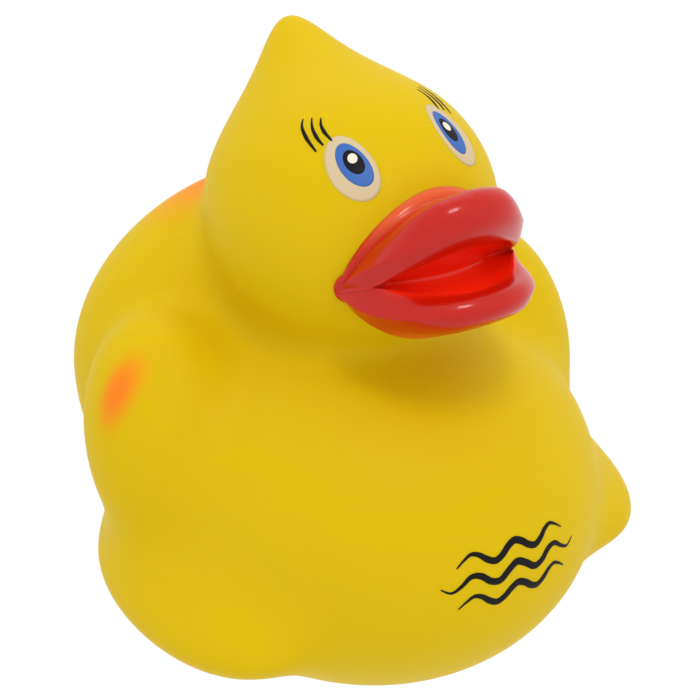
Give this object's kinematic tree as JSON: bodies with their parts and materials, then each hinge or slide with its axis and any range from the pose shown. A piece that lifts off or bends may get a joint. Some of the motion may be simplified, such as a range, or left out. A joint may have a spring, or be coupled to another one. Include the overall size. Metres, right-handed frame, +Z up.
{
  "type": "floating chlorine dispenser",
  "caption": "Toy duck float with a hollow vinyl skin and a tablet well in its belly, shut by a screw cap with a turning flow dial.",
  "frame": {"origin": "centre of the resting face, under the middle of the duck", "axes": "+Z up, the duck faces -Y, its left side is +X"},
  "size_m": [0.1346, 0.1336, 0.1465],
  "materials": {
    "yellow_vinyl": "soft vinyl, satin, a little light passes through",
    "red_paint": "glossy red spray over vinyl",
    "white_plastic": "moulded polypropylene, fine grain",
    "inner_plastic": "natural moulded polypropylene",
    "blue_plastic": "moulded polypropylene, satin",
    "black_rubber": "smooth EPDM",
    "stainless": "turned stainless steel",
    "ballast_steel": "machined steel, dull",
    "pressed_tablet": "chalky pressed tablet"
  },
  "bodies": {
    "duck": {"duck_skin": "yellow_vinyl", "beak": "red_paint", "well_housing": "white_plastic", "flange_gasket": "black_rubber", "clamp_ring": "inner_plastic", "flange_screws": "stainless", "ballast_ring": "ballast_steel"},
    "cartridge": {"tablet_cage": "blue_plastic", "tablet_grid": "inner_plastic", "tablet_1": "pressed_tablet", "tablet_2": "pressed_tablet", "tablet_3": "pressed_tablet"},
    "cap": {"base_cap": "blue_plastic", "valve_plate": "white_plastic", "cap_o_ring": "black_rubber", "pivot_screw": "stainless", "wave_washer": "stainless"},
    "dial": {"flow_dial": "white_plastic"}
  },
  "joints": [
    {"name": "cartridge_drop", "type": "slide", "parent": "duck", "child": "cartridge", "axis": [0, 0, -1], "range_m": [0, 0.0075]},
    {"name": "cap_turn", "type": "hinge", "parent": "cartridge", "child": "cap", "pos_m": [0, 0, 0.004], "axis": [0, 0, -1], "range_deg": [0, 540]},
    {"name": "flow_dial_turn", "type": "hinge", "parent": "cap", "child": "dial", "pos_m": [0, 0, 0.003], "axis": [0, 0, -1], "range_deg": [0, 45]}
  ],
  "couplings": [
    {"joint": "cap_turn", "follows": "cartridge_drop", "rad_per_m": 1256.6}
  ]
}
